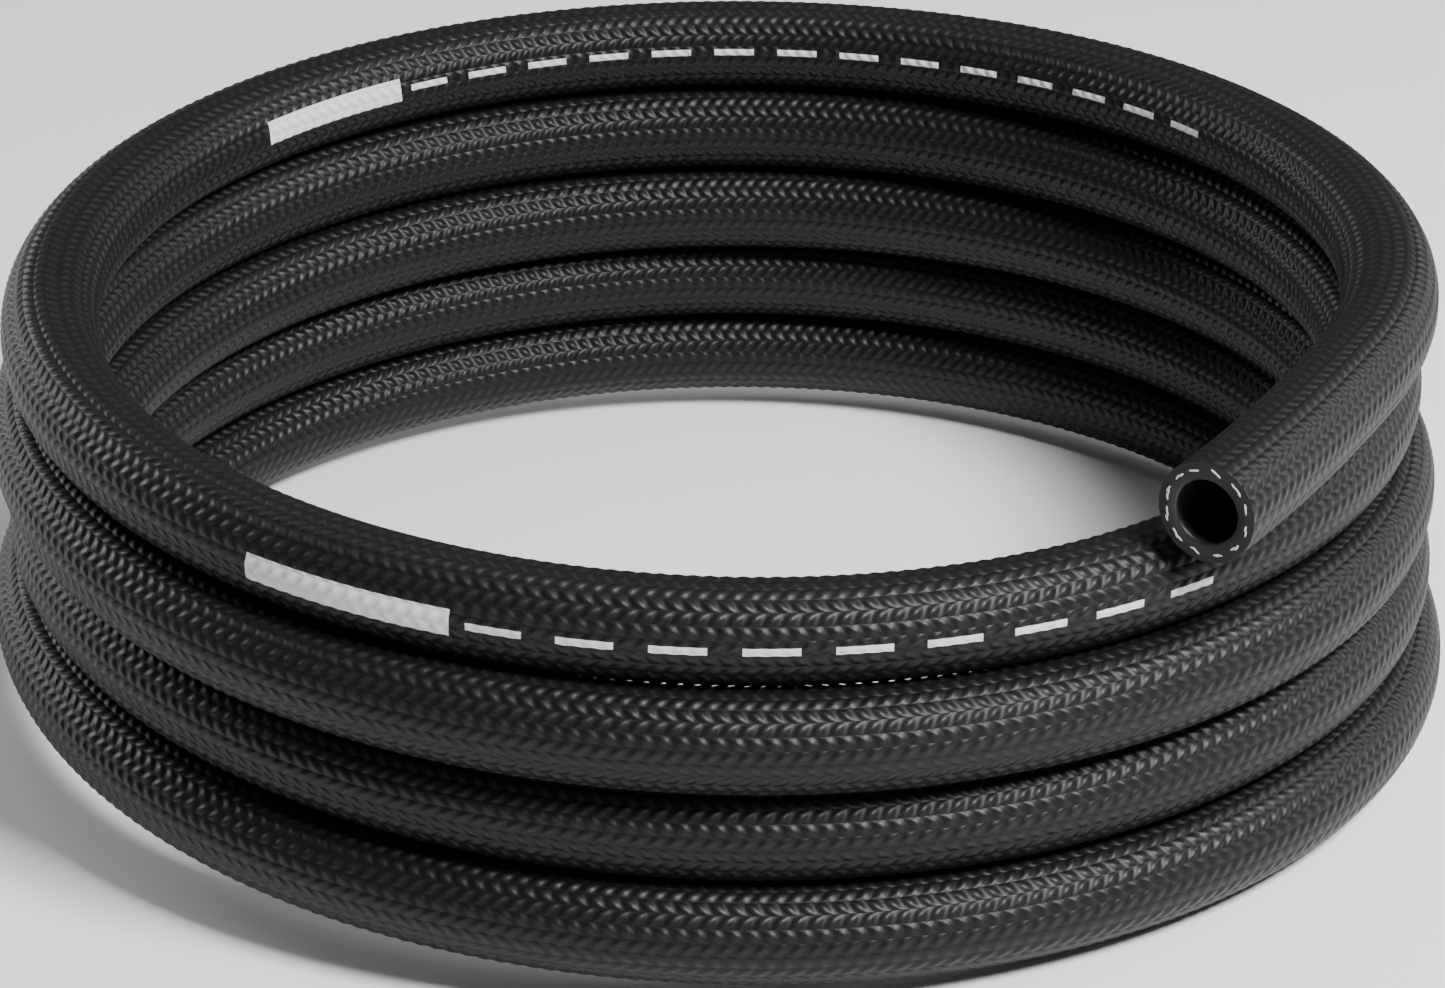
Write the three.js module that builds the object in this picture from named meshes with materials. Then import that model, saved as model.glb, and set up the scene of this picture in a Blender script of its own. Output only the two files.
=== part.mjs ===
import * as THREE from 'three';

// Fuel hose of 3/8 inch bore, lying in a loose coil of four and a half turns.
// The origin is under the middle of the coil, on the floor, with +Z up and the seen side toward -Y.

// Driving dimensions of the hose, in millimetres
const hoseLength = 3048;
const boreDiameter = 9.525;
const tubeWall = 1.35;
const braidWall = 0.35;
const coverWall = 0.85;
const layerGap = 0.05;

// Driving dimensions of the coil, in millimetres
const freeEndRadius = 103.6;
const spreadPerTurn = 0.7;
const turnGap = 0.05;
const endFlare = 10;

// How far the hose lies out of the even coil, in millimetres, at the back and the front of each
// turn by turns, from the first back down to the last
const looseness = [1.5, -1.5, -0.5, 3.5, -2.5, 0.5, 0, 3.5, 0];

// Angles of the coil, in degrees, counted anticlockwise seen from above
const freeEndAzimuth = -54;
const flareReach = 28;
const backAzimuth = 90;
const settleReach = 30;

// Faceting of every layer
const sectionSides = 8;
const stepsPerTurn = 24;

const fullTurn = 2 * Math.PI;
const radians = THREE.MathUtils.degToRad;

// Radii of the layers, from the bore out
const tubeInner = boreDiameter / 2;
const tubeOuter = tubeInner + tubeWall;
const braidInner = tubeOuter + layerGap;
const braidOuter = braidInner + braidWall;
const coverInner = braidOuter + layerGap;
const coverOuter = coverInner + coverWall;
const pitch = 2 * coverOuter + turnGap;

// How far the free end stands out of its turn, after turning by an angle from that end:
// the last stretch is straighter than the coil.
function flareAt(turned) {
  const left = Math.max(0, 1 - turned / radians(flareReach));
  return endFlare * left * left;
}

// Offset from the even coil, blended smoothly from each back to the next front
function looseAt(turned) {
  const halfTurns = (turned + radians(freeEndAzimuth - backAzimuth)) / Math.PI;
  const place = THREE.MathUtils.clamp(halfTurns, 0, looseness.length - 1);
  const before = Math.min(Math.floor(place), looseness.length - 2);
  const blend = THREE.MathUtils.smoothstep(place - before, 0, 1);
  return THREE.MathUtils.lerp(looseness[before], looseness[before + 1], blend);
}

// Radius of the coil without its flared end: each turn lies a little wider than the one above it
function turnRadius(turned) {
  return freeEndRadius + spreadPerTurn * turned / fullTurn + looseAt(turned);
}

function coilRadius(turned) {
  return turnRadius(turned) + flareAt(turned);
}

// Angle turned from the free end to the lower end, added up until the hose is used
function angleForLength(length) {
  const step = radians(0.5);
  const drop = pitch / fullTurn;
  let turned = 0;
  let used = 0;
  while (used < length) {
    used += Math.hypot(coilRadius(turned + step / 2), drop) * step;
    turned += step;
  }
  return turned;
}

const turnedInAll = angleForLength(hoseLength);

// The coil rests on its lower end and on the far side of its bottom turn, so it leans:
// it drops by half a pitch across the coil, and by the slope of the hose at that far side.
const restAzimuth = radians(freeEndAzimuth) + turnedInAll + Math.PI;
const bottomRadius = coilRadius(turnedInAll - Math.PI / 2);
const leanAlong = pitch / 2 / (2 * bottomRadius);
const leanAcross = pitch / fullTurn / bottomRadius;

function leanAt(x, y) {
  const along = x * Math.cos(restAzimuth) + y * Math.sin(restAzimuth);
  const across = x * Math.sin(restAzimuth) - y * Math.cos(restAzimuth);
  return leanAlong * along + leanAcross * across;
}

// A turn that lies wider or narrower than the one below it slides down on its shoulder until the
// two touch. This adds up those drops over all the turns below a point of the hose, and fades the
// last of them out toward the lower end.
function dropAt(turned) {
  let drop = 0;
  for (let below = turned + fullTurn; below < turnedInAll; below += fullTurn) {
    const offset = turnRadius(below) - turnRadius(below - fullTurn);
    const share = Math.min(1, (turnedInAll - below) / radians(settleReach));
    drop += share * (pitch - Math.sqrt(pitch * pitch - offset * offset));
  }
  return drop;
}

// Centreline of the hose, from the free end on top down to the lower end
class HoseLine extends THREE.Curve {
  getPoint(t, target = new THREE.Vector3()) {
    const turned = t * turnedInAll;
    const azimuth = radians(freeEndAzimuth) + turned;
    const radius = coilRadius(turned);
    const x = radius * Math.cos(azimuth);
    const y = radius * Math.sin(azimuth);
    const z = -pitch * turned / fullTurn - leanAt(x, y) - dropAt(turned);
    return target.set(x, y, z);
  }
}

// Corners of one wall of the hose, seen along it
function circle(radius) {
  const corners = [];
  for (let i = 0; i < sectionSides; i += 1) {
    const angle = fullTurn * i / sectionSides;
    corners.push(new THREE.Vector2(radius * Math.cos(angle), radius * Math.sin(angle)));
  }
  return corners;
}

const hoseLine = new HoseLine();
const steps = Math.round(stepsPerTurn * turnedInAll / fullTurn);

// One layer of the hose: a pipe of the given radii along the whole centreline
function layer(name, outerRadius, innerRadius, material) {
  const section = new THREE.Shape(circle(outerRadius));
  section.holes.push(new THREE.Path(circle(innerRadius)));
  const geometry = new THREE.ExtrudeGeometry(section, { steps, extrudePath: hoseLine });
  const mesh = new THREE.Mesh(geometry, material);
  mesh.name = name;
  return mesh;
}

const coverRubber = new THREE.MeshStandardMaterial({ color: 0x1b1b1c, roughness: 0.55, metalness: 0 });
const braidYarn = new THREE.MeshStandardMaterial({ color: 0xd8d4ca, roughness: 0.8, metalness: 0 });
const tubeRubber = new THREE.MeshStandardMaterial({ color: 0x262625, roughness: 0.65, metalness: 0 });

const coil = new THREE.Group();
coil.add(layer('cover', coverOuter, coverInner, coverRubber));
coil.add(layer('reinforcement_braid', braidOuter, braidInner, braidYarn));
coil.add(layer('inner_tube', tubeOuter, tubeInner, tubeRubber));

// The middle of the coil's underside is set down on the origin
const bounds = new THREE.Box3().setFromObject(coil, true);
const middle = bounds.getCenter(new THREE.Vector3());
coil.position.set(-middle.x, -middle.y, -bounds.min.z);

const part = new THREE.Group();
part.add(coil);

export default part;
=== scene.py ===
import math
import random

import bmesh
import bpy
import numpy as np
from bpy.props import FloatProperty, FloatVectorProperty, IntProperty, PointerProperty
from mathutils import Matrix, Vector


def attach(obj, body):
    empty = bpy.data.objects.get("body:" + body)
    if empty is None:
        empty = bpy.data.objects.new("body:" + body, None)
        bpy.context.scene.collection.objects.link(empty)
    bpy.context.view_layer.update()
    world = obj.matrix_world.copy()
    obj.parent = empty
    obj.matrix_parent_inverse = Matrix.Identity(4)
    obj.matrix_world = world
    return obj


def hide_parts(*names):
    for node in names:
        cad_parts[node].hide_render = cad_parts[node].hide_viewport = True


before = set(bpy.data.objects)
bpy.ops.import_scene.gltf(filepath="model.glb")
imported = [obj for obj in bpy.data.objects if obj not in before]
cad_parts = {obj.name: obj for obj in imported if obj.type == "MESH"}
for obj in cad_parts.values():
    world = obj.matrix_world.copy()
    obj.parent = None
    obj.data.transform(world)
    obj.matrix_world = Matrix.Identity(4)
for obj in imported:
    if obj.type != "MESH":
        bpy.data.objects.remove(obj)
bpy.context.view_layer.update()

bl_info = {
    "name": "Coiled fuel hose",
    "version": (1, 0, 0),
    "blender": (4, 5, 0),
    "location": "3D View > Sidebar > Fuel hose",
    "description": "Finish of a loose coil of black rubber fuel hose with a braid-marked cover",
    "category": "Object",
}

BODY = "root"
MM = 0.001
FULL_TURN = 2 * math.pi

# Sizes of the hose and its coil, the same as the part's own, in metres and radians
HOSE_LENGTH = 3.048
BORE_DIAMETER = 9.525 * MM
TUBE_WALL = 1.35 * MM
BRAID_WALL = 0.35 * MM
COVER_WALL = 0.85 * MM
LAYER_GAP = 0.05 * MM
FREE_END_RADIUS = 103.6 * MM
SPREAD_PER_TURN = 0.7 * MM
TURN_GAP = 0.05 * MM
END_FLARE = 10 * MM
LOOSENESS = [step * MM for step in (1.5, -1.5, -0.5, 3.5, -2.5, 0.5, 0, 3.5, 0)]
FREE_END_AZIMUTH = math.radians(-54)
FLARE_REACH = math.radians(28)
BACK_AZIMUTH = math.radians(90)
SETTLE_REACH = math.radians(30)
COIL_PLACE = (-0.03 * MM, 1.85 * MM)

BORE_RADIUS = BORE_DIAMETER / 2
TUBE_OUTER = BORE_RADIUS + TUBE_WALL
BRAID_INNER = TUBE_OUTER + LAYER_GAP
BRAID_OUTER = BRAID_INNER + BRAID_WALL
COVER_INNER = BRAID_OUTER + LAYER_GAP
OUTER_RADIUS = COVER_INNER + COVER_WALL
OUTER_DIAMETER = 2 * OUTER_RADIUS
PITCH = OUTER_DIAMETER + TURN_GAP

# Twelve carriers each way leave this many rows of strokes round the hose, one face wide each.
# The crown stands this much further out, because its flat faces cut the corners of the round.
BRAID_ROWS = 24
FACET_RISE = 0.105 * MM
UV_NAME = "along_and_round"

# Rings along the walls that hardly show, along the inner tube, and how near a seam's points lie
HIDDEN_RINGS = 430
TUBE_RINGS = 500
SEAM_REACH = 1e-7


class Mark:
    """A printed mark: where its blank block starts along the hose, its angle round the hose from
    straight outward over the top, the way that its dashes run, 1 toward the lower end, and how many"""

    def __init__(self, start, angle, way, dashes):
        self.start = start
        self.angle = angle
        self.way = way
        self.dashes = dashes


MARK_HEIGHT = 4 * MM
BLOCK_LENGTH = 31 * MM
DASH_SPACING = 12 * MM
DASH_LENGTH = 7.5 * MM
DASH_HEIGHT = 1.1 * MM
MARK_EDGE = 0.06 * MM
FRONT_MARK = Mark(528.5 * MM, math.radians(3), 1, 9)
BACK_MARK = Mark(360 * MM, math.radians(174), -1, 14)


def smooth(blend):
    """Eases a blend from 0 to 1 in and out"""
    return blend * blend * (3 - 2 * blend)


def flare_at(turned):
    """How far the straighter free end stands out of its turn"""
    left = np.maximum(0, 1 - turned / FLARE_REACH)
    return END_FLARE * left * left


def loose_at(turned):
    """How far the hose lies out of the even coil, blended from each back to the next front"""
    place = np.clip((turned + FREE_END_AZIMUTH - BACK_AZIMUTH) / math.pi, 0, len(LOOSENESS) - 1)
    before = np.minimum(place.astype(int), len(LOOSENESS) - 2)
    blend = smooth(place - before)
    steps = np.array(LOOSENESS)
    return steps[before] * (1 - blend) + steps[before + 1] * blend


def turn_radius(turned):
    """Radius of the coil without its flared end, after turning by an angle from the free end"""
    return FREE_END_RADIUS + SPREAD_PER_TURN * turned / FULL_TURN + loose_at(turned)


def coil_radius(turned):
    """Radius of the coil with its flared end"""
    return turn_radius(turned) + flare_at(turned)


def drop_at(turned, turned_in_all):
    """How far the turns below a point let it down, where one lies wider or narrower than the next"""
    drop = np.zeros_like(turned)
    for turns in range(1, int(turned_in_all / FULL_TURN) + 1):
        below = turned + turns * FULL_TURN
        offset = turn_radius(below) - turn_radius(below - FULL_TURN)
        share = np.clip((turned_in_all - below) / SETTLE_REACH, 0, 1)
        drop += share * (PITCH - np.sqrt(PITCH * PITCH - offset * offset))
    return drop


class Route:
    """The hose's centreline, from the free end on top down to the lower end"""

    STEP = math.radians(0.5)
    MOST_TURNS = 5.2
    POINTS_PER_STEP = 20

    def __init__(self):
        turned = np.arange(0, self.MOST_TURNS * FULL_TURN, self.STEP)
        pace = np.hypot(coil_radius(turned[:-1] + self.STEP / 2), PITCH / FULL_TURN) * self.STEP
        used = np.concatenate([[0], np.cumsum(pace)])
        last = int(np.searchsorted(used, HOSE_LENGTH))
        self.turned_in_all = turned[last]
        fine = np.linspace(0, self.turned_in_all, self.POINTS_PER_STEP * last)
        points = self.place(fine)
        lengths = np.linalg.norm(np.diff(points, axis=0), axis=1)
        self.turned = fine
        self.used = np.concatenate([[0], np.cumsum(lengths)])
        self.length = self.used[-1]
        self.shift = np.zeros(3)
        self.shift = self.settle()

    def place(self, turned):
        """Points of the centreline before the coil is set down"""
        azimuth = FREE_END_AZIMUTH + turned
        radius = coil_radius(turned)
        x = radius * np.cos(azimuth)
        y = radius * np.sin(azimuth)
        rest = FREE_END_AZIMUTH + self.turned_in_all + math.pi
        bottom = coil_radius(np.array([self.turned_in_all - math.pi / 2]))[0]
        along = x * math.cos(rest) + y * math.sin(rest)
        across = x * math.sin(rest) - y * math.cos(rest)
        lean = PITCH / 4 / bottom * along + PITCH / FULL_TURN / bottom * across
        drop = drop_at(turned, self.turned_in_all)
        return np.stack([x, y, -PITCH * turned / FULL_TURN - lean - drop], axis=1)

    def settle(self):
        """The shift that sets the coil down on the floor, over the origin"""
        rings = self.rings(np.linspace(0, self.length, 2000), np.linspace(0, FULL_TURN, 25), OUTER_RADIUS)
        return np.array([*COIL_PLACE, -rings[:, :, 2].min()])

    def centre(self, along):
        """Centreline points at distances along the hose"""
        return self.place(np.interp(along, self.used, self.turned)) + self.shift

    def axes(self, along):
        """Outward, upward and forward directions of the hose's section at distances along it"""
        nudge = 0.2 * MM
        start = np.clip(along - nudge, 0, self.length)
        end = np.clip(along + nudge, 0, self.length)
        forward = self.centre(end) - self.centre(start)
        forward /= np.linalg.norm(forward, axis=1)[:, None]
        outward = (self.centre(along) - self.shift) * np.array([1, 1, 0])
        outward -= (outward * forward).sum(axis=1)[:, None] * forward
        outward /= np.linalg.norm(outward, axis=1)[:, None]
        return outward, np.cross(outward, forward), forward

    def rings(self, along, angles, radius):
        """Points round the hose: one ring for each distance, one point for each angle"""
        outward, upward, forward = self.axes(along)
        radius = np.broadcast_to(np.asarray(radius, float), (len(along), len(angles)))
        rise = np.sin(angles)[None, :, None] * upward[:, None]
        side = np.cos(angles)[None, :, None] * outward[:, None] + rise
        return self.centre(along)[:, None] + radius[:, :, None] * side


ROUTE = Route()


class Value:
    """A socket of a material, with sums on it written as Python expressions"""

    def __init__(self, finish, socket):
        self.finish = finish
        self.socket = socket

    def math(self, operation, *others):
        """Any other sum, by the name of its operation"""
        inputs = {0: self}
        inputs.update({i + 1: other for i, other in enumerate(others)})
        return self.finish.add("ShaderNodeMath", {"operation": operation}, inputs)

    def __add__(self, other):
        return self.math("ADD", other)

    __radd__ = __add__

    def __sub__(self, other):
        return self.math("SUBTRACT", other)

    def __rsub__(self, other):
        return self.finish.add("ShaderNodeMath", {"operation": "SUBTRACT"}, {0: other, 1: self})

    def __mul__(self, other):
        return self.math("MULTIPLY", other)

    __rmul__ = __mul__

    def __truediv__(self, other):
        return self.math("DIVIDE", other)

    def __pow__(self, other):
        return self.math("POWER", other)


class Finish:
    """One material, built a node at a time around its Principled shader"""

    def __init__(self, name):
        self.material = bpy.data.materials.new(name)
        self.material.use_nodes = True
        self.tree = self.material.node_tree
        self.shader = self.tree.nodes["Principled BSDF"]

    def add(self, kind, settings=None, inputs=None, output=0):
        """Adds a node of a type, sets it up, feeds its sockets and gives back one output"""
        node = self.tree.nodes.new(kind)
        for name, value in (settings or {}).items():
            if name == "stops":
                self.set_stops(node.color_ramp, value)
            else:
                setattr(node, name, value)
        for key, value in (inputs or {}).items():
            self.feed(node.inputs[key], value)
        return Value(self, node.outputs[output])

    def set_stops(self, ramp, stops):
        """Gives a ramp its grey stops, each a position and a level"""
        while len(ramp.elements) < len(stops):
            ramp.elements.new(0.5)
        for element, (position, level) in zip(ramp.elements, stops):
            element.position = position
            element.color = (level, level, level, 1)

    def feed(self, socket, value):
        """Links a value to a socket, or sets a plain number or colour on it"""
        if isinstance(value, Value):
            self.tree.links.new(value.socket, socket)
        else:
            socket.default_value = value

    def shade(self, **inputs):
        """Feeds the Principled shader's sockets, named with _ for a space"""
        for name, value in inputs.items():
            self.feed(self.shader.inputs[name.replace("_", " ")], value)

    def place(self):
        """Object coordinates of the piece"""
        return self.add("ShaderNodeTexCoord", output="Object")

    def along_and_round(self):
        """Distance along the hose in metres, and the share of a turn round it"""
        uv = self.add("ShaderNodeUVMap", {"uv_map": UV_NAME})
        along = self.add("ShaderNodeSeparateXYZ", inputs={0: uv}, output=0)
        around = self.add("ShaderNodeSeparateXYZ", inputs={0: uv}, output=1)
        return along, around

    def noise(self, where, scale, detail=2.0, roughness=0.5):
        """Cloudy noise from 0 to 1, with scale blotches to a metre"""
        settings = {"noise_dimensions": "3D"}
        inputs = {"Vector": where, "Scale": scale, "Detail": detail, "Roughness": roughness}
        return self.add("ShaderNodeTexNoise", settings, inputs, output=0)

    def between(self, value, low, high):
        """Takes a value's 0 to 1 to low to high"""
        return value * (high - low) + low

    def mix(self, share, first, second):
        """Blends two colours"""
        settings = {"data_type": "RGBA"}
        return self.add("ShaderNodeMix", settings, {0: share, 6: first, 7: second}, output=2)

    def bump(self, height, distance):
        """A normal bent by a height, which is distance metres high where it is 1"""
        return self.add("ShaderNodeBump", inputs={"Height": height, "Distance": distance, "Strength": 1.0})

    def window(self, value, low, high, soft):
        """1 while value is from low to high, fading over soft at each edge"""
        rise = self.add("ShaderNodeMapRange", {"interpolation_type": "SMOOTHSTEP"},
                        {"Value": value, "From Min": low - soft, "From Max": low + soft})
        fall = self.add("ShaderNodeMapRange", {"interpolation_type": "SMOOTHSTEP"},
                        {"Value": value, "From Min": high - soft, "From Max": high + soft})
        return rise - fall


class HoseSettings(bpy.types.PropertyGroup):
    """Sizes and colours of the hose that a user would change"""

    stroke_spacing: FloatProperty(
        name="Stroke spacing", description="Distance along the hose between braid strokes of a row",
        default=2.35 * MM, min=0.5 * MM, unit="LENGTH")
    relief: FloatProperty(
        name="Relief", description="Height of the braid strokes that is modelled in the mesh",
        default=0.17 * MM, min=0.0, unit="LENGTH")
    fine_relief: FloatProperty(
        name="Fine relief", description="Height of the strokes' own shape, made by bump",
        default=0.27 * MM, min=0.0, unit="LENGTH")
    stroke_lean: FloatProperty(
        name="Stroke lean", description="How far a stroke leans along the hose across its row, in spacings",
        default=0.42, min=-2.0, max=2.0)
    wall_sides: IntProperty(
        name="Inner sides", description="Faces round the hidden and inner walls",
        default=48, min=12, max=96)
    rubber: FloatVectorProperty(
        name="Cover rubber", description="Colour of the cover's rubber",
        default=(0.005, 0.005, 0.0053), subtype="COLOR", size=3, min=0.0, max=1.0)
    # Lighter rubber of the strokes' tops, against which the darker valleys are painted shade; also the colour
    # of the cover's cut face
    top_and_cut_rubber: FloatVectorProperty(
        name="Stroke tops", description="Colour of the tops of the braid strokes",
        default=(0.018, 0.018, 0.0185), subtype="COLOR", size=3, min=0.0, max=1.0)
    cut_rubber: FloatVectorProperty(
        name="Cut rubber", description="Colour of the freshly cut rubber at both ends",
        default=(0.030, 0.029, 0.028), subtype="COLOR", size=3, min=0.0, max=1.0)
    ink: FloatVectorProperty(
        name="Ink", description="Colour of the printed marks",
        default=(0.78, 0.78, 0.77), subtype="COLOR", size=3, min=0.0, max=1.0)


class YarnSettings(bpy.types.PropertyGroup):
    """Sizes and colour of the yarns that show in the cut ends"""

    count: IntProperty(
        name="Yarns", description="Yarns that show round a cut end", default=12, min=4, max=24)
    length: FloatProperty(
        name="Yarn length", description="Length of a cut yarn along the ring",
        default=2.0 * MM, min=0.2 * MM, unit="LENGTH")
    thickness: FloatProperty(
        name="Yarn thickness", description="Thickness of a cut yarn across the wall",
        default=0.62 * MM, min=0.1 * MM, unit="LENGTH")
    proud: FloatProperty(
        name="Proud", description="How far the cut yarns stand out of the cut face",
        default=0.16 * MM, min=0.0, unit="LENGTH")
    seed: IntProperty(name="Seed", description="Seed of the yarns' small differences", default=7)
    colour: FloatVectorProperty(
        name="Yarn", description="Colour of the yarn",
        default=(0.95, 0.94, 0.91), subtype="COLOR", size=3, min=0.0, max=1.0)


class StageSettings(bpy.types.PropertyGroup):
    """Camera, floor and lights"""

    elevation: FloatProperty(
        name="Elevation", description="How far the camera looks down",
        default=math.radians(24.08), subtype="ANGLE")
    roll: FloatProperty(
        name="Roll", description="How far the camera is turned about its view",
        default=math.radians(-0.83), subtype="ANGLE")
    distance: FloatProperty(
        name="Distance", description="From the camera to the middle of the view",
        default=0.7141, unit="LENGTH")
    lens: FloatProperty(name="Lens", description="Focal length in millimetres", default=110.6)
    aim: FloatVectorProperty(
        name="Aim", description="The point that the camera looks at",
        default=(0.0008, 0.0018, 0.0280), subtype="TRANSLATION", size=3)
    floor_colour: FloatVectorProperty(
        name="Floor", description="Colour of the floor",
        default=(0.93, 0.93, 0.93), subtype="COLOR", size=3, min=0.0, max=1.0)
    floor_size: FloatProperty(
        name="Floor size", description="Width of the floor", default=12.0, unit="LENGTH")


def add_object(name, mesh):
    """Puts a mesh in the scene as an object of that name"""
    item = bpy.data.objects.new(name, mesh)
    bpy.context.scene.collection.objects.link(item)
    return item


def swept_pipe(name, along, radii, sides, materials, face_material):
    """A closed pipe wall swept along the hose. along and radii run once round the wall's outline, out
    along the outside and back along the inside, and the last ring is the first one again."""
    angles = FULL_TURN * (np.arange(sides + 1) + 0.5) / sides
    bm = bmesh.new()
    bmesh.ops.create_grid(bm, x_segments=len(along) - 1, y_segments=sides, size=0.5, calc_uvs=False)
    mesh = bpy.data.meshes.new(name)
    bm.to_mesh(mesh)
    bm.free()

    flat = np.empty(len(mesh.vertices) * 3)
    mesh.vertices.foreach_get("co", flat)
    flat = flat.reshape(-1, 3) + 0.5
    ring = np.rint(flat[:, 0] * (len(along) - 1)).astype(int)
    side = np.rint(flat[:, 1] * sides).astype(int)
    points = ROUTE.rings(along, angles, radii)
    mesh.vertices.foreach_set("co", points[ring, side].ravel())

    corner = np.empty(len(mesh.loops), dtype=np.int32)
    mesh.loops.foreach_get("vertex_index", corner)
    uv = np.stack([along[ring[corner]], (side[corner] + 0.5) / sides], axis=1)
    mesh.uv_layers.new(name=UV_NAME).data.foreach_set("uv", uv.ravel())

    for material in materials:
        mesh.materials.append(material)
    first = ring[corner].reshape(-1, 4).min(axis=1)
    mesh.polygons.foreach_set("material_index", face_material(first).astype(np.int32))

    bm = bmesh.new()
    bm.from_mesh(mesh)
    seam = [vert for vert in bm.verts if vert.is_boundary]
    bmesh.ops.remove_doubles(bm, verts=seam, dist=SEAM_REACH)
    bmesh.ops.recalc_face_normals(bm, faces=bm.faces)
    for face in bm.faces:
        face.smooth = True
    bm.to_mesh(mesh)
    bm.free()
    mesh.update()
    return add_object(name, mesh)


def sharpen(item, angle):
    """Keeps the edges sharper than an angle crisp"""
    bm = bmesh.new()
    bm.from_mesh(item.data)
    for edge in bm.edges:
        if len(edge.link_faces) == 2 and edge.calc_face_angle() > angle:
            edge.smooth = False
    bm.to_mesh(item.data)
    bm.free()


# Materials

def mark_mask(finish, along, around, mark):
    """Where one printed line lies: its block at one end and its dashes after it"""
    turn = around - (mark.angle / FULL_TURN - 0.5)
    height = (turn - turn.math("FLOOR") - 0.5) * (FULL_TURN * OUTER_RADIUS)
    place = (along - mark.start) * mark.way
    half = MARK_HEIGHT / 2
    block = finish.window(place, 0, BLOCK_LENGTH, MARK_EDGE) * finish.window(height, -half, half, MARK_EDGE)
    run = (place - BLOCK_LENGTH) / DASH_SPACING
    half_gap = (1 - DASH_LENGTH / DASH_SPACING) / 2
    row = finish.window(run - run.math("FLOOR"), half_gap, 1 - half_gap, MARK_EDGE / DASH_SPACING)
    row = row * finish.window(run, 0, mark.dashes, MARK_EDGE / DASH_SPACING)
    row = row * finish.window(height, -DASH_HEIGHT / 2, DASH_HEIGHT / 2, MARK_EDGE)
    return block.math("MAXIMUM", row)


def stroke_height(finish, along, around, settings):
    """Height of the braid strokes: rows that lean one way and the other, half a stroke apart"""
    rows = around * BRAID_ROWS
    index = rows.math("FLOOR")
    across = rows - index - 0.5
    odd = index.math("MODULO", 2)
    lean = (1 - 2 * odd) * settings.stroke_lean
    picks = along / settings.stroke_spacing + odd * 0.5 - across * lean
    wave = (picks * FULL_TURN).math("COSINE") * 0.5 + 0.5
    width = (across * math.pi).math("COSINE").math("MAXIMUM", 0.0)
    return wave * (width ** 0.9)


def cover_finish(settings):
    """Semi-matte black rubber, marked by the braid under it, with the strokes' tops lighter and the valleys
    between them darker as painted shade
    """
    finish = Finish("cover_rubber")
    along, around = finish.along_and_round()
    place = finish.place()
    stroke = stroke_height(finish, along, around, settings)
    grain = finish.noise(place, 2600, 3.0, 0.6)
    patches = finish.noise(place, 45, 3.0, 0.55)
    rub = finish.noise(place, 330, 2.0, 0.5)
    height = stroke * finish.between(rub, 0.75, 1.15) + grain * 0.09
    # Painted shade: the strokes' tops get the lighter rubber and the valleys between them keep the darker
    # one, in random patches
    tops = (stroke ** 2.5) * finish.between(patches, 0.3, 1.0)
    base = finish.mix(tops, (*settings.rubber, 1), (*settings.top_and_cut_rubber, 1))
    marks = mark_mask(finish, along, around, FRONT_MARK).math(
        "MAXIMUM", mark_mask(finish, along, around, BACK_MARK))
    inked = marks * finish.between(stroke, 0.86, 1.0)
    roughness = finish.between(patches, 0.37, 0.47) - stroke * 0.03 + grain * 0.07
    finish.shade(
        Base_Color=finish.mix(inked, base, (*settings.ink, 1)),
        Roughness=roughness + inked * 0.15,
        Normal=finish.bump(height, settings.fine_relief),
        Specular_IOR_Level=0.25,
    )
    return finish.material


def cut_finish(settings, name, shade):
    """Rubber cut across with a blade: dark grey and dull, with fine drag marks"""
    finish = Finish(name)
    place = finish.place()
    grain = finish.noise(place, 3200, 3.0, 0.65)
    drag = finish.noise(place, 700, 2.0, 0.5)
    share = finish.between(grain, -0.1, 1.0) * finish.between(drag, 0.5, 1.2)
    finish.shade(
        Base_Color=finish.mix(share, (*settings.rubber, 1), (*shade, 1)),
        Roughness=finish.between(drag, 0.55, 0.8),
        Normal=finish.bump(grain * 0.6 + drag, 0.05 * MM),
    )
    return finish.material


def bore_finish():
    """The smooth, slightly glossy inner rubber of the bore"""
    finish = Finish("bore_rubber")
    place = finish.place()
    patches = finish.noise(place, 120, 2.0, 0.5)
    grain = finish.noise(place, 2200, 2.0, 0.5)
    finish.shade(
        Base_Color=finish.mix(patches, (0.008, 0.008, 0.008, 1), (0.014, 0.014, 0.014, 1)),
        Roughness=finish.between(patches, 0.38, 0.5),
        Normal=finish.bump(grain, 0.02 * MM),
    )
    return finish.material


def yarn_finish(settings):
    """Off-white yarn with its filaments, stained a little by the rubber"""
    finish = Finish("braid_yarn")
    place = finish.place()
    fibres = finish.noise(place, 5200, 3.0, 0.7)
    stains = finish.noise(place, 900, 2.0, 0.5)
    share = finish.add("ShaderNodeValToRGB", {"stops": ((0.42, 0.0), (0.7, 1.0))}, {0: stains})
    finish.shade(
        Base_Color=finish.mix(share.math("MULTIPLY", 0.4), (*settings.colour, 1), (0.23, 0.19, 0.16, 1)),
        Roughness=finish.between(fibres, 0.7, 0.95),
        Normal=finish.bump(fibres, 0.08 * MM),
    )
    return finish.material


def floor_finish(settings):
    """Plain pale floor"""
    finish = Finish("studio_floor")
    grain = finish.noise(finish.place(), 40, 2.0, 0.5)
    finish.shade(
        Base_Color=(*settings.floor_colour, 1),
        Roughness=finish.between(grain, 0.62, 0.68),
    )
    return finish.material


# Pieces

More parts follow.
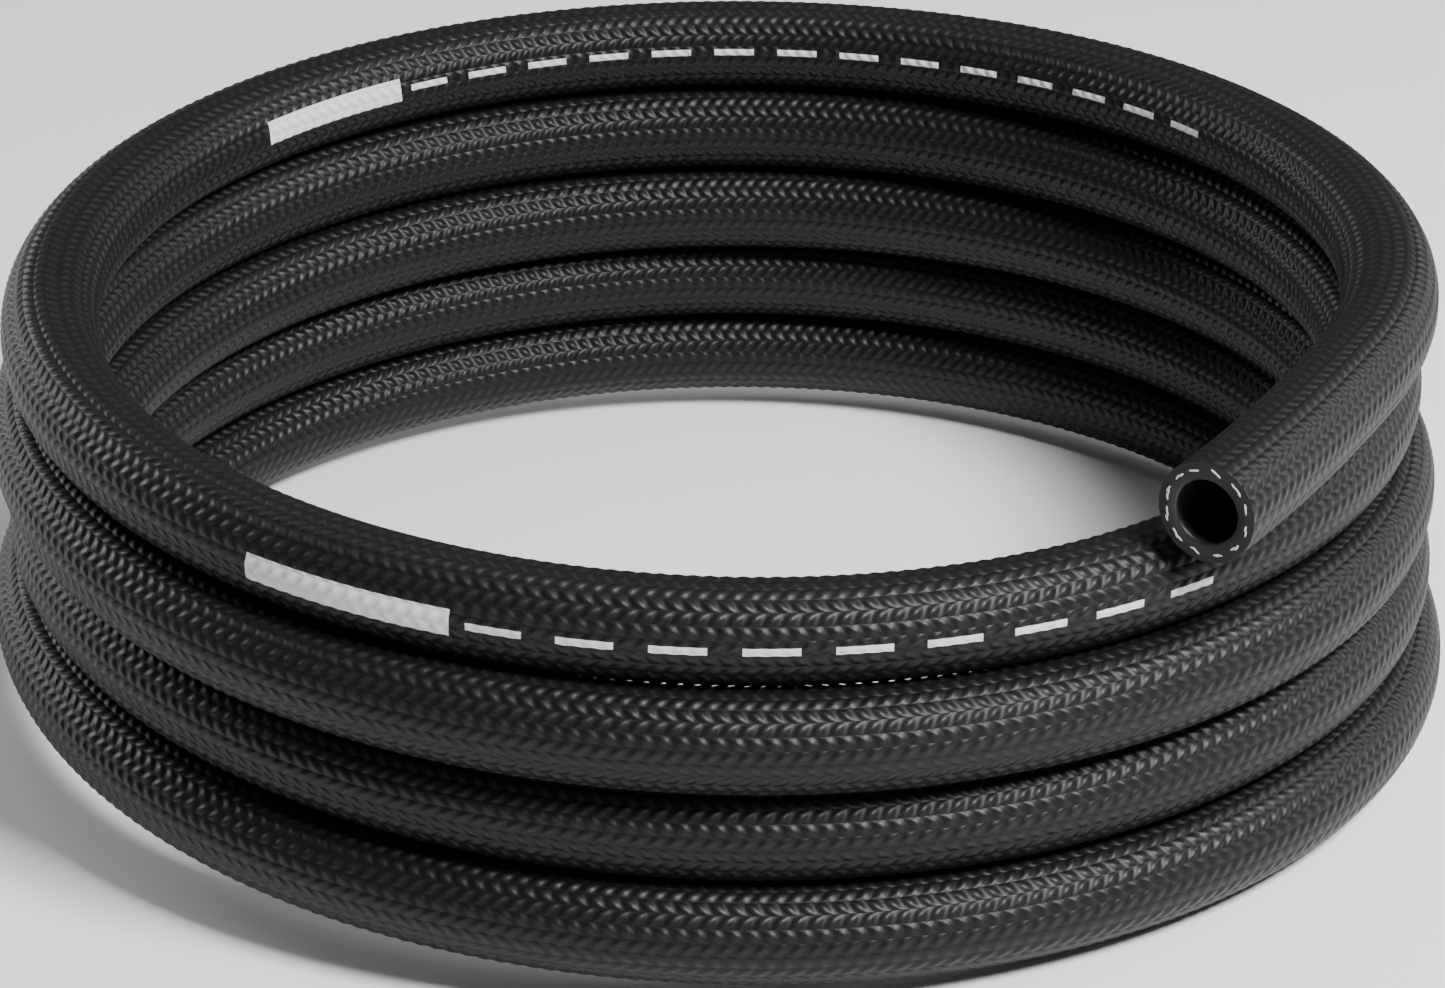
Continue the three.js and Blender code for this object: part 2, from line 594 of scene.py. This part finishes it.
class FUELHOSE_OT_cover(bpy.types.Operator):
    bl_idname = "fuel_hose.cover"
    bl_label = "Cover"

    def execute(self, context):
        settings = context.scene.fuel_hose
        half_stroke = settings.stroke_spacing / 2
        outer = np.arange(0, ROUTE.length, half_stroke)
        outer = np.append(outer[outer < ROUTE.length - half_stroke / 2], ROUTE.length)
        inner = np.linspace(ROUTE.length, 0, HIDDEN_RINGS)
        along = np.concatenate([outer, inner, [0]])
        checker = 1 - 2 * ((np.arange(len(outer))[:, None] + np.arange(BRAID_ROWS + 1)[None, :]) % 2)
        fade = np.clip(np.minimum(outer, ROUTE.length - outer) / half_stroke, 0, 1)[:, None]
        crown = OUTER_RADIUS + FACET_RISE + settings.relief / 2 * checker * fade
        back = np.full((len(inner), BRAID_ROWS + 1), COVER_INNER)
        radii = np.concatenate([crown, back, crown[:1]])
        first_end = len(outer) - 1

        def face_material(first):
            cut = (first == first_end) | (first == len(along) - 2)
            return np.where(cut, 1, 0)

        # The cover's cut face takes the same lighter rubber as the strokes' tops
        materials = [cover_finish(settings), cut_finish(settings, "cut_cover", settings.top_and_cut_rubber)]
        cover = swept_pipe("hose_cover", along, radii, BRAID_ROWS, materials, face_material)
        sharpen(cover, math.radians(50))
        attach(cover, BODY)
        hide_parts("cover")
        return {"FINISHED"}


class FUELHOSE_OT_inner_tube(bpy.types.Operator):
    """Make the thick inner tube with its bore, closed over the braid at both cut ends"""

    bl_idname = "fuel_hose.inner_tube"
    bl_label = "Inner tube"

    def execute(self, context):
        settings = context.scene.fuel_hose
        rim = 0.25 * MM
        lip = 1.2 * MM
        shoulder = 1.3 * lip
        clearance = 0.01 * MM
        mouth = np.array([rim, 1 * MM, 3 * MM])
        depth = 8 * MM
        length = ROUTE.length
        outside = COVER_INNER - clearance
        middle = np.linspace(2 * lip, length - 2 * lip, TUBE_RINGS)
        bore = np.concatenate([mouth, np.linspace(depth, length - depth, TUBE_RINGS), (length - mouth)[::-1]])
        along = np.concatenate([[0, lip, shoulder], middle, [length - shoulder, length - lip, length]])
        radii = np.concatenate([[outside, outside, TUBE_OUTER], np.full(TUBE_RINGS, TUBE_OUTER),
                                [TUBE_OUTER, outside, outside]])
        turn_back = len(along)
        along = np.concatenate([along, [length], bore[::-1], [0, 0]])
        radii = np.concatenate([radii, [BORE_RADIUS + rim], np.full(len(bore), BORE_RADIUS),
                                [BORE_RADIUS + rim, outside]])

        def face_material(first):
            inside = (first >= turn_back) & (first < len(along) - 2)
            return np.where(inside, 1, 0)

        rings = np.repeat(radii[:, None], settings.wall_sides + 1, axis=1)
        materials = [cut_finish(settings, "cut_tube", settings.cut_rubber), bore_finish()]
        tube = swept_pipe("hose_inner_tube", along, rings, settings.wall_sides, materials, face_material)
        sharpen(tube, math.radians(60))
        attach(tube, BODY)
        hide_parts("inner_tube")
        return {"FINISHED"}


class FUELHOSE_OT_braid(bpy.types.Operator):
    """Make the layer of yarn between the cover and the inner tube"""

    bl_idname = "fuel_hose.braid"
    bl_label = "Reinforcement braid"

    def execute(self, context):
        settings = context.scene.fuel_hose_yarn
        inset = 1.8 * MM
        run = np.linspace(inset, ROUTE.length - inset, HIDDEN_RINGS)
        along = np.concatenate([run, run[::-1], run[:1]])
        outer = np.full(HIDDEN_RINGS, BRAID_OUTER)
        inner = np.full(HIDDEN_RINGS, BRAID_INNER)
        radii = np.concatenate([outer, inner, [BRAID_OUTER]])
        rings = np.repeat(radii[:, None], BRAID_ROWS + 1, axis=1)
        material = yarn_finish(settings)
        braid = swept_pipe("yarn_braid", along, rings, BRAID_ROWS, [material], lambda first: 0 * first)
        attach(braid, BODY)
        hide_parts("reinforcement_braid")
        return {"FINISHED"}


class FUELHOSE_OT_cut_yarns(bpy.types.Operator):
    """Make the short ends of yarn that show in both cut faces"""

    bl_idname = "fuel_hose.cut_yarns"
    bl_label = "Cut yarns"

    def execute(self, context):
        settings = context.scene.fuel_hose_yarn
        material = bpy.data.materials["braid_yarn"]
        ring = (BRAID_OUTER + BRAID_INNER) / 2
        for name, place, facing in (("yarns_upper_end", 0.0, -1), ("yarns_lower_end", ROUTE.length, 1)):
            draw = random.Random(settings.seed + facing)
            outward, upward, forward = (Vector(axis[0]) for axis in ROUTE.axes(np.array([place])))
            centre = Vector(ROUTE.centre(np.array([place]))[0])
            face = forward * facing
            bm = bmesh.new()
            for i in range(settings.count):
                angle = FULL_TURN * (i + 0.5 + draw.uniform(-0.14, 0.14)) / settings.count
                strands = draw.choice((2, 3, 3))
                lean = draw.uniform(-0.22, 0.22)
                for strand in range(strands):
                    spread = strand - (strands - 1) / 2
                    length = settings.length * draw.uniform(0.45, 0.62)
                    thick = settings.thickness * draw.uniform(0.4, 0.62)
                    shift = spread * settings.length * draw.uniform(0.24, 0.36)
                    turn = angle + shift / ring
                    radial = outward * math.cos(turn) + upward * math.sin(turn)
                    tangent = upward * math.cos(turn) - outward * math.sin(turn)
                    step = radial * (ring + lean * shift + draw.uniform(-0.15, 0.15) * MM)
                    spot = centre + step + face * (settings.proud - thick * 0.4)
                    along = (tangent + radial * (lean + draw.uniform(-0.3, 0.3))).normalized()
                    across = face.cross(along)
                    turned = Matrix((along, across, face)).transposed().to_4x4()
                    size = Matrix.Diagonal((length / 2, thick / 2, thick * 0.4, 1))
                    bmesh.ops.create_icosphere(
                        bm, subdivisions=3, radius=1.0, matrix=Matrix.Translation(spot) @ turned @ size)
            for item in bm.faces:
                item.smooth = True
            bmesh.ops.recalc_face_normals(bm, faces=bm.faces)
            mesh = bpy.data.meshes.new(name)
            bm.to_mesh(mesh)
            bm.free()
            mesh.materials.append(material)
            yarns = add_object(name, mesh)
            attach(yarns, BODY)
        return {"FINISHED"}


class FUELHOSE_OT_declare(bpy.types.Operator):
    """Work out points along the hose's centreline, which are then left unused"""

    bl_idname = "fuel_hose.declare"
    bl_label = "Declare the hose"

    def execute(self, context):
        path = ROUTE.centre(np.linspace(0, ROUTE.length, 900))
        return {"FINISHED"}


class FUELHOSE_OT_stage(bpy.types.Operator):
    """Make the camera, the floor and the soft studio lights"""

    bl_idname = "fuel_hose.stage"
    bl_label = "Stage"

    def execute(self, context):
        settings = context.scene.fuel_hose_stage
        self.make_camera(context, settings)
        self.make_floor(settings)
        self.make_lights(context)
        return {"FINISHED"}

    def make_camera(self, context, settings):
        """A camera that looks down at the aim from the front"""
        data = bpy.data.cameras.new("camera")
        data.lens = settings.lens
        data.sensor_width = 36
        data.clip_start = 0.01
        data.clip_end = 50
        camera = bpy.data.objects.new("camera", data)
        context.scene.collection.objects.link(camera)
        tilt = settings.elevation
        back = Vector((0, -math.cos(tilt), math.sin(tilt)))
        turn = Matrix.Rotation(math.pi / 2 - tilt, 4, "X") @ Matrix.Rotation(settings.roll, 4, "Z")
        camera.matrix_world = Matrix.Translation(Vector(settings.aim) + back * settings.distance) @ turn
        context.scene.camera = camera

    def make_floor(self, settings):
        """A wide plain floor at the hose's underside"""
        bm = bmesh.new()
        bmesh.ops.create_grid(bm, x_segments=1, y_segments=1, size=settings.floor_size / 2)
        mesh = bpy.data.meshes.new("studio_floor")
        bm.to_mesh(mesh)
        bm.free()
        mesh.materials.append(floor_finish(settings))
        floor = add_object("studio_floor", mesh)

    def make_lights(self, context):
        """Soft lights, each with its place, aim, width and height in metres, and watts, and a dim sky"""
        sky = 0.13
        lamps = (
            ("key_softbox", (0.54, -0.45, 0.85), (0, 0, 0.03), 0.32, 0.32, 24.0),
            ("overhead_softbox", (0.1, 0.35, 1.4), (0, 0, 0), 1.5, 1.0, 3.6),
            ("left_strip", (-1.0, 0.75, 0.45), (0, 0, 0.05), 0.5, 0.5, 6.0),
            ("right_strip", (1.0, 0.55, 0.55), (0, 0, 0.05), 0.4, 0.5, 4.0),
        )
        for name, place, target, width, height, power in lamps:
            data = bpy.data.lights.new(name, "AREA")
            data.shape = "RECTANGLE"
            data.size = width
            data.size_y = height
            data.energy = power
            lamp = bpy.data.objects.new(name, data)
            context.scene.collection.objects.link(lamp)
            aim = Vector(target) - Vector(place)
            lamp.matrix_world = Matrix.Translation(place) @ aim.to_track_quat("-Z", "Y").to_matrix().to_4x4()
        world = bpy.data.worlds.new("studio_world")
        world.use_nodes = True
        background = world.node_tree.nodes["Background"]
        background.inputs["Color"].default_value = (1, 1, 1, 1)
        background.inputs["Strength"].default_value = sky
        context.scene.world = world


class FUELHOSE_PT_panel(bpy.types.Panel):
    """Lists the hose's settings and makers"""

    bl_idname = "FUELHOSE_PT_panel"
    bl_label = "Fuel hose"
    bl_space_type = "VIEW_3D"
    bl_region_type = "UI"
    bl_category = "Fuel hose"

    def draw(self, context):
        layout = self.layout
        for group in (context.scene.fuel_hose, context.scene.fuel_hose_yarn, context.scene.fuel_hose_stage):
            box = layout.box()
            for name in group.__annotations__:
                box.prop(group, name)
        for operator in OPERATORS:
            layout.operator(operator.bl_idname)


SETTINGS = (HoseSettings, YarnSettings, StageSettings)
OPERATORS = (
    FUELHOSE_OT_stage,
    FUELHOSE_OT_cover,
    FUELHOSE_OT_inner_tube,
    FUELHOSE_OT_braid,
    FUELHOSE_OT_cut_yarns,
    FUELHOSE_OT_declare,
)
CLASSES = SETTINGS + OPERATORS + (FUELHOSE_PT_panel,)


def register():
    for item in CLASSES:
        bpy.utils.register_class(item)
    bpy.types.Scene.fuel_hose = PointerProperty(type=HoseSettings)
    bpy.types.Scene.fuel_hose_yarn = PointerProperty(type=YarnSettings)
    bpy.types.Scene.fuel_hose_stage = PointerProperty(type=StageSettings)


def unregister():
    del bpy.types.Scene.fuel_hose_stage
    del bpy.types.Scene.fuel_hose_yarn
    del bpy.types.Scene.fuel_hose
    for item in reversed(CLASSES):
        bpy.utils.unregister_class(item)


def main():
    register()
    bpy.ops.fuel_hose.stage()
    bpy.ops.fuel_hose.cover()
    bpy.ops.fuel_hose.inner_tube()
    bpy.ops.fuel_hose.braid()
    bpy.ops.fuel_hose.cut_yarns()
    bpy.ops.fuel_hose.declare()


if __name__ == "__main__":
    main()
